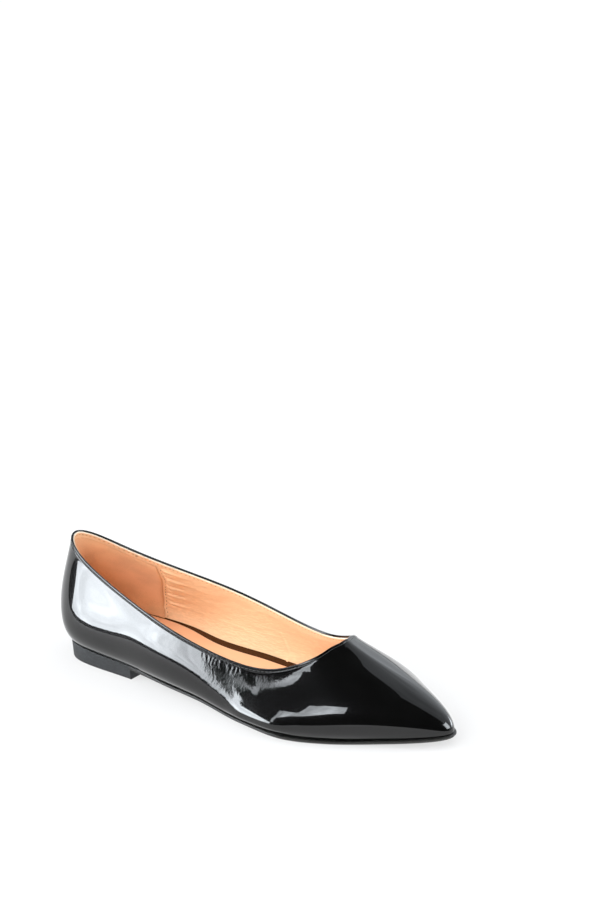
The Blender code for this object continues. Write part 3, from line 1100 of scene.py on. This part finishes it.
def heel_ring(ring, breast):
    """The part of a ring behind the breast, closed by the breast's straight line."""
    half = len(ring) // 2
    outer = ring[: half + 1]
    inner = np.vstack([ring[:1], ring[:half:-1]])
    count = int((outer[:, 0] < breast - 0.8).sum())
    sides = []
    for side in (outer, inner):
        share = np.linspace(0, 1, count)
        far = np.interp(breast, side[:, 0], np.arange(len(side)))
        sides.append(line_at(side, np.arange(len(side)), share * far))
    steps = np.linspace(0, 1, BREAST_PLACES)[1:-1, None]
    front = sides[0][-1] + steps * (sides[1][-1] - sides[0][-1])
    return np.vstack([sides[0], front, sides[1][:0:-1]])


class FLATSHOE_OT_upper(bpy.types.Operator):
    """Patent outside with its folded topline, turned in under the sock"""

    bl_idname = "flat_shoe.upper"
    bl_label = "Patent Upper"

    def execute(self, context):
        skin = Skin(SKIN_PLACES)
        bm = bmesh.new()
        lay_grid(bm, upper_patent_rows(skin), closed_round=True, closed_over=True)
        make_piece("upper_patent", bm, patent_leather(), "upper", 60)
        return {"FINISHED"}


class FLATSHOE_OT_lining(bpy.types.Operator):
    """Lining with its pale edge, its seam and the gathers in front of the heel grip"""

    bl_idname = "flat_shoe.lining"
    bl_label = "Lining"

    def execute(self, context):
        skin = Skin(SKIN_PLACES)
        points, downs = lining_rows(skin)
        bm = bmesh.new()
        lay_grid(bm, points, closed_round=True, closed_over=True, uv=skin_map(skin, downs))
        make_piece("upper_lining", bm, lining_leather(), "upper", 60)
        return {"FINISHED"}


class FLATSHOE_OT_stitching(bpy.types.Operator):
    """Rows of stitches along the topline, outside and inside"""

    bl_idname = "flat_shoe.stitching"
    bl_label = "Stitching"

    def execute(self, context):
        size = sizes()
        count = 2 * round(Skin(SKIN_PLACES).around[-1] / (size.stitch_pitch / MM) / 2)
        skin = Skin(count)
        long, thick = size.stitch_long / MM, size.thread / MM
        bm = bmesh.new()
        stitch_row(bm, skin, STITCH_DOWN, size.bead_out / MM - STITCH_GROOVE, long, thick)
        thread = sewing_thread("black_thread", hex_colour("121212"))
        make_piece("topline_stitches", bm, thread, "upper")
        bm = bmesh.new()
        proud = -size.wall / MM + 0.1
        stitch_row(bm, skin, LINING_STITCH_DOWN, proud, long * 0.8, thick * 0.9)
        thread = sewing_thread("tan_thread", hex_colour("c98f5e"))
        make_piece("lining_stitches", bm, thread, "upper")
        return {"FINISHED"}


class FLATSHOE_OT_heel_grip(bpy.types.Operator):
    """Suede grip round the inside of the heel, with its seam of small stitches"""

    bl_idname = "flat_shoe.heel_grip"
    bl_label = "Heel Grip"

    def execute(self, context):
        skin = Skin(SKIN_PLACES)
        outer, normals = grip_rows(skin)
        thick = sizes().grip / MM
        rows, places = outer.shape[:2]
        up = np.minimum(np.arange(rows), np.arange(rows)[::-1] / 3)[:, None]
        along = np.minimum(np.arange(places), np.arange(places)[::-1])[None]
        rounded = 1 - np.exp(-np.minimum(up, along * GRIP_EDGE_CELLS) / GRIP_EDGE_CELLS)
        deep = GRIP_EDGE_THICK + (thick - GRIP_EDGE_THICK) * rounded
        inner = outer - normals * deep[..., None]
        bm = bmesh.new()
        lay_grid(bm, outer)
        lay_grid(bm, inner)
        rim = [edge for edge in bm.edges if edge.is_boundary]
        bmesh.ops.bridge_loops(bm, edges=rim)
        make_piece("heel_grip_suede", bm, grip_suede(), "heel_grip", 70)
        bm = bmesh.new()
        for middle, along, normal in grip_stitch_places(outer, normals):
            place = middle + normal * 0.3
            stitch(bm, place, along, normal, GRIP_STITCH_LONG, GRIP_STITCH_THICK)
        # The thread is dark brown partly as its own colour and partly as painted shade of the stitch
        # holes
        thread = sewing_thread("brown_thread", hex_colour("7a4a2a"))
        make_piece("heel_grip_stitches", bm, thread, "heel_grip")
        return {"FINISHED"}


class FLATSHOE_OT_insole(bpy.types.Operator):
    """Padded sock on a dark board, whose edge turns up the wall as a dark line: partly the board,
    partly painted shade of the gap beside the sock
    """

    bl_idname = "flat_shoe.insole"
    bl_label = "Insole"

    def execute(self, context):
        size = sizes()
        skin = Skin(SOLE_PLACES)
        wall, under = size.wall / MM, size.skived / MM + BOARD_OVER
        board, sock, gap = size.board / MM, size.sock / MM, size.sock_gap / MM
        low = skin.foot_ring(np.full(skin.count, -wall - BOARD_LOW_IN), under)
        top = under + board
        # The board's dark edge is raised up the wall to stand partly for painted shade in the gap
        # beside the sock
        rise = BOARD_RISE * smooth_rise(skin.foot[:, 0], *BOARD_RISE_FROM)
        edge = -wall - BOARD_EDGE_IN
        reached = top + sock * SOCK_SIDE + rise
        high, _, _ = skin.at(skin.at_height(reached, edge)[None], np.array([[edge]]))
        high = high[0]
        flat = skin.foot_ring(np.full(skin.count, -wall - BOARD_TOP_IN), top)
        lip = high - skin.out * 0.35 - np.array((0, 0, 0.1))
        bm = bmesh.new()
        lay_grid(bm, np.array([low, high, lip, flat]), closed_round=True)
        lay_grid(bm, across(low, BOARD_CROSS))
        lay_grid(bm, across(flat, BOARD_CROSS))
        make_piece("insole_board", bm, insole_board(), "insole")
        rim, _, _ = skin.at(skin.at_height(top, -wall)[None], np.array([[-wall]]))
        rim = rim[0] - skin.out * gap * sock_gap_share(skin)[:, None]
        rim[:, 2] = skin.foot[:, 2] + top + sock * SOCK_SIDE
        lower = rim - np.array((0, 0, sock * SOCK_SIDE - 0.03))
        inward = skin.out * 0.4
        rows = [lower, rim - np.array((0, 0, 0.22)), rim - inward * 0.3 - np.array((0, 0, 0.06))]
        face = across(rim - inward, SOCK_CROSS)
        share = np.linspace(-1, 1, SOCK_CROSS + 1)[None, :]
        wide = np.linalg.norm(face[:, 0] - face[:, -1], axis=1)[:, None]
        crown = sock * SOCK_CROWN * np.minimum(wide / SOCK_CROWN_WIDE, 1)
        face[..., 2] += crown * (1 - share**2)
        bm = bmesh.new()
        lay_grid(bm, np.array([*rows, rim - inward]), closed_round=True)
        lay_grid(bm, across(lower, SOCK_CROSS))
        lay_grid(bm, face)
        piece = make_piece("insole_sock_pad", bm, sock_leather(), "insole", 50)
        return {"FINISHED"}


class FLATSHOE_OT_outsole(bpy.types.Operator):
    """Thin rubber sole with a proud ridge round its edge"""

    bl_idname = "flat_shoe.outsole"
    bl_label = "Outsole"

    def execute(self, context):
        skin = Skin(SOLE_PLACES)
        rows = sole_band(skin)
        bm = bmesh.new()
        lay_grid(bm, rows, closed_round=True)
        lay_grid(bm, across(rows[0], SOLE_CROSS))
        lay_grid(bm, across(rows[-1], SOLE_CROSS))
        rubber = moulded_rubber("sole_rubber", colours().sole, 0.42, 0.7, 0.05)
        make_piece("outsole_rubber", bm, rubber, "outsole", 35)
        return {"FINISHED"}


class FLATSHOE_OT_heel(bpy.types.Operator):
    """Low D-shaped rubber heel block"""

    bl_idname = "flat_shoe.heel"
    bl_label = "Heel Block"

    def execute(self, context):
        skin = Skin(SOLE_PLACES)
        rows = heel_rows(skin)
        bm = bmesh.new()
        lay_grid(bm, rows, closed_round=True)
        for ring in (rows[0], rows[-1]):
            rim = lay_grid(bm, across(ring, HEEL_CROSS))
            bmesh.ops.recalc_face_normals(bm, faces=list({f for v in rim for f in v.link_faces}))
        rubber = moulded_rubber("heel_rubber", colours().heel, 0.6, 0.9, 0.07)
        make_piece("heel_block", bm, rubber, "heel", 35)
        return {"FINISHED"}


# Camera, from the photograph: angles in degrees, distance in metres, and the place of the target
# in the 600 by 900 frame in pixels from its top left corner
IMAGE_WIDE, IMAGE_HIGH = 600, 900
CAMERA_AZIMUTH = 38.859
CAMERA_ELEVATION = 21.184
CAMERA_ROLL = -2.318
CAMERA_DISTANCE = 1.86024
CAMERA_FOCAL_PIXELS = 3357.26
TARGET_X, TARGET_Y, TARGET_Z = 130.0, 0.0, 20.0
TARGET_PIXEL = (253.46, 657.36)
SENSOR_WIDE = 36.0

# Cards of light, each placed as the shoe sees it: azimuth 0 is towards -Y and 90 towards +X
LIGHT_CARDS = (
    # name, azimuth and elevation of its low left, low right, high left and high right corners,
    # metres away, strength, hot spot across and up
    ("rear_card", (-64.5, 2.6), (-28, 3.6), (-66, 34), (-28, 13.5), 1.7, 16.5, (0.4, 0.45)),
    ("bead_card", (-82, 34), (-57, 38), (-82, 62), (-57, 62), 1.9, 8, (0.5, 0.5)),
    ("ball_card", (-29.5, 17.5), (-24, 17.5), (-39, 41), (-34, 41), 1.7, 6, (0.5, 0.5)),
    ("strip_card", (-22, 36), (17, 36), (-22, 47), (17, 47), 1.7, 10, (0.6, 0.3)),
    ("strip_end_card", (-36, 36), (-22.2, 36), (-36, 42), (-22.2, 42), 1.7, 9, (0.6, 0.3)),
    ("toe_card", (98, 13), (130, 13), (98, 36), (130, 36), 2.2, 10, (0.5, 0.5)),
    ("toe_side_card", (148, 0.5), (174, 0.5), (148, 12), (174, 12), 2.2, 8, (0.5, 0.5)),
    ("back_card", (112, 2), (205, 2), (112, 76), (205, 76), 2.6, 1, (0.7, 0.1)),
    ("rim_card", (-168, 14), (-128, 14), (-168, 30), (-128, 30), 2.5, 2, (0.5, 0.5)),
)

# A card's hot spot is this much narrower across than up, and fades out over this share of the card
HOT_SPOT_NARROW = 2.2
HOT_SPOT_REACH = 1.1

# Shares of a card's strength: in its hot spot and past it, and where its cloth is dull and bright
HOT_SPOT_SHARES = (1.2, 0.75)
CLOTH_SHARES = (0.78, 1.12)
CARD_COLOUR = (0.9, 0.95, 1.0, 1)
STUDIO_DIM = 0.012

# Soft lamps that only fill: they light the floor and the lining and don't show in the patent
FILL_LAMPS = (
    # name, x, y, z, size, watts
    ("top_fill", 0.2, 0.4, 2.8, 4.0, 77.0),
    ("front_fill", 0.5, -1.6, 1.1, 1.2, 24.0),
    ("side_fill", -1.4, -0.9, 1.2, 1.0, 8.0),
)

# Light that the pale floor gives off by itself, so that its shadows stay faint: its strength under
# the shoe and far from it, and the distances in metres between which it grows. The weaker glow
# round the shoe is painted shade, a soft darkening of the floor about the shoe.
FLOOR_GLOW_NEAR = 0.66
FLOOR_GLOW_FAR = 0.8
FLOOR_GLOW_GROWS = (0.1, 0.42)


def towards(azimuth, elevation):
    """Unit vector from the shoe, azimuth 0 towards -Y and 90 towards +X."""
    a, e = np.radians(azimuth), np.radians(elevation)
    return np.array((np.sin(a) * np.cos(e), -np.cos(a) * np.cos(e), np.sin(e)))


def place_camera():
    """The camera at the photograph's angle, as fitted to the shoe's outlines."""
    a, r = np.radians((CAMERA_AZIMUTH, CAMERA_ROLL))
    back = towards(CAMERA_AZIMUTH, CAMERA_ELEVATION)
    right = np.array((np.cos(a), np.sin(a), 0))
    up = np.cross(back, right)
    right, up = right * np.cos(r) + up * np.sin(r), up * np.cos(r) - right * np.sin(r)
    ray = (
        right * (TARGET_PIXEL[0] - IMAGE_WIDE / 2) / CAMERA_FOCAL_PIXELS
        - up * (TARGET_PIXEL[1] - IMAGE_HIGH / 2) / CAMERA_FOCAL_PIXELS
        - back
    )
    target = np.array((TARGET_X - MIDDLE_X, TARGET_Y - MIDDLE_Y, TARGET_Z)) * MM
    centre = target - ray * CAMERA_DISTANCE
    data = bpy.data.cameras.new("camera")
    data.sensor_width = SENSOR_WIDE
    data.lens = CAMERA_FOCAL_PIXELS * SENSOR_WIDE / IMAGE_HIGH
    data.clip_end = 50
    camera = bpy.data.objects.new("camera", data)
    turn = Matrix(np.column_stack([right, up, back]).tolist()).to_4x4()
    camera.matrix_world = Matrix.Translation(Vector(centre)) @ turn
    bpy.context.scene.collection.objects.link(camera)
    bpy.context.scene.camera = camera


def place_floor():
    """Wide matt studio floor: a grey ground, made nearly white by its own faint glow, which is weaker
    round the shoe as painted shade.
    """
    material, tree, shader = new_finish(
        "studio_floor", Roughness=0.9, Specular_IOR_Level=0.0, Emission_Color=(1, 1, 1, 1)
    )
    place = object_place(tree)
    # The glow is weaker near the shoe than far from it: painted shade round the shoe
    away = add(tree, "ShaderNodeVectorMath", {0: place}, operation="LENGTH").outputs["Value"]
    tree.links.new(
        ranged(tree, away, *FLOOR_GLOW_GROWS, FLOOR_GLOW_NEAR, FLOOR_GLOW_FAR),
        shader.inputs["Emission Strength"],
    )
    dust = stretched_noise(tree, place, (40, 40, 40), 2.0)
    tone = colours().floor
    tree.links.new(
        tinted(tree, dust, [c * 0.995 for c in tone], tone), shader.inputs["Base Color"]
    )
    bm = bmesh.new()
    bmesh.ops.create_grid(bm, x_segments=4, y_segments=4, size=5.0)
    floor = new_object("floor", bm, material)


def place_card(name, low_left, low_right, high_left, high_right, away, strength, hot_spot):
    """A glowing card that the camera doesn't see, brightest at its hot spot as a soft box is."""
    material = bpy.data.materials.new(name + "_glow")
    material.use_nodes = True
    tree = material.node_tree
    tree.nodes.clear()
    spot = add(tree, "ShaderNodeTexCoord").outputs["UV"]
    squeezed = add(
        tree, "ShaderNodeVectorMath", {0: spot, 1: (HOT_SPOT_NARROW, 1, 1)}, operation="MULTIPLY"
    ).outputs["Vector"]
    middle = (hot_spot[0] * HOT_SPOT_NARROW, hot_spot[1], 0)
    from_middle = add(
        tree, "ShaderNodeVectorMath", {0: squeezed, 1: middle}, operation="DISTANCE"
    ).outputs["Value"]
    shares = [strength * share for share in HOT_SPOT_SHARES]
    fading = ranged(tree, from_middle, 0.0, HOT_SPOT_REACH, *shares)
    cloud = add(
        tree, "ShaderNodeTexNoise", {"Vector": spot, "Scale": 5.0, "Detail": 3.0}
    ).outputs["Fac"]
    uneven = maths(tree, "MULTIPLY", fading, ranged(tree, cloud, 0.3, 0.7, *CLOTH_SHARES))
    glow = add(tree, "ShaderNodeEmission", {"Color": CARD_COLOUR, "Strength": uneven})
    add(tree, "ShaderNodeOutputMaterial", {"Surface": glow.outputs[0]})
    bm = bmesh.new()
    layer = bm.loops.layers.uv.verify()
    made = bmesh.ops.create_grid(bm, x_segments=12, y_segments=8, size=0.5)["verts"]
    for face in bm.faces:
        for loop in face.loops:
            loop[layer].uv = (loop.vert.co.x + 0.5, loop.vert.co.y + 0.5)
    for v in made:
        x, y = v.co.x + 0.5, v.co.y + 0.5
        low = np.array(low_left) * (1 - x) + np.array(low_right) * x
        high = np.array(high_left) * (1 - x) + np.array(high_right) * x
        v.co = Vector(towards(*(low * (1 - y) + high * y)) * away)
    card = new_object(name, bm, material)
    card.visible_camera = False
    card.visible_shadow = False


def place_lamp(name, x, y, z, size, watts):
    """A soft square lamp aimed at the shoe, which doesn't show in reflections."""
    data = bpy.data.lights.new(name, "AREA")
    data.size = size
    data.energy = watts
    lamp = bpy.data.objects.new(name, data)
    lamp.location = (x, y, z)
    lamp.rotation_euler = Vector((x, y, z - 0.03)).to_track_quat("Z", "Y").to_euler()
    lamp.visible_glossy = False
    bpy.context.scene.collection.objects.link(lamp)


def light_world():
    """A dim studio, and white where the camera looks past the floor."""
    world = bpy.data.worlds.new("studio")
    bpy.context.scene.world = world
    world.use_nodes = True
    tree = world.node_tree
    tree.nodes.clear()
    studio = add(tree, "ShaderNodeBackground", {"Color": (1, 1, 1, 1), "Strength": STUDIO_DIM})
    white = add(tree, "ShaderNodeBackground", {"Color": (1, 1, 1, 1), "Strength": 1.0})
    seen = add(tree, "ShaderNodeLightPath").outputs["Is Camera Ray"]
    both = add(tree, "ShaderNodeMixShader", {0: seen, 1: studio.outputs[0], 2: white.outputs[0]})
    add(tree, "ShaderNodeOutputWorld", {"Surface": both.outputs[0]})


class FLATSHOE_OT_studio(bpy.types.Operator):
    """Plain pale floor, soft studio light and the camera at the photograph's angle"""

    bl_idname = "flat_shoe.studio"
    bl_label = "Studio"

    def execute(self, context):
        place_floor()
        for name, *facts in LIGHT_CARDS:
            place_card(name, *facts)
        for name, *facts in FILL_LAMPS:
            place_lamp(name, *facts)
        light_world()
        place_camera()
        context.scene.view_settings.view_transform = "Standard"
        return {"FINISHED"}


MAKERS = (
    FLATSHOE_OT_upper,
    FLATSHOE_OT_lining,
    FLATSHOE_OT_stitching,
    FLATSHOE_OT_heel_grip,
    FLATSHOE_OT_insole,
    FLATSHOE_OT_outsole,
    FLATSHOE_OT_heel,
    FLATSHOE_OT_studio,
)


class FLATSHOE_PT_parts(bpy.types.Panel):
    """Buttons for each piece of the shoe, with its sizes and colours"""

    bl_label = "Flat Shoe"
    bl_idname = "FLATSHOE_PT_parts"
    bl_space_type = "VIEW_3D"
    bl_region_type = "UI"
    bl_category = "Flat Shoe"

    def draw(self, context):
        for maker in MAKERS:
            self.layout.operator(maker.bl_idname)
        for group in (context.scene.flat_shoe_sizes, context.scene.flat_shoe_colours):
            box = self.layout.box()
            for name in group.bl_rna.properties.keys():
                if name not in ("rna_type", "name"):
                    box.prop(group, name)


CLASSES = (FlatShoeSizes, FlatShoeColours, *MAKERS, FLATSHOE_PT_parts)


def register():
    for made in CLASSES:
        bpy.utils.register_class(made)
    bpy.types.Scene.flat_shoe_sizes = bpy.props.PointerProperty(type=FlatShoeSizes)
    bpy.types.Scene.flat_shoe_colours = bpy.props.PointerProperty(type=FlatShoeColours)


def unregister():
    del bpy.types.Scene.flat_shoe_colours
    del bpy.types.Scene.flat_shoe_sizes
    for made in reversed(CLASSES):
        bpy.utils.unregister_class(made)


def main():
    register()
    bpy.ops.flat_shoe.upper()
    bpy.ops.flat_shoe.lining()
    bpy.ops.flat_shoe.stitching()
    bpy.ops.flat_shoe.heel_grip()
    bpy.ops.flat_shoe.insole()
    bpy.ops.flat_shoe.outsole()
    bpy.ops.flat_shoe.heel()
    bpy.ops.flat_shoe.studio()


if __name__ == "__main__":
    main()
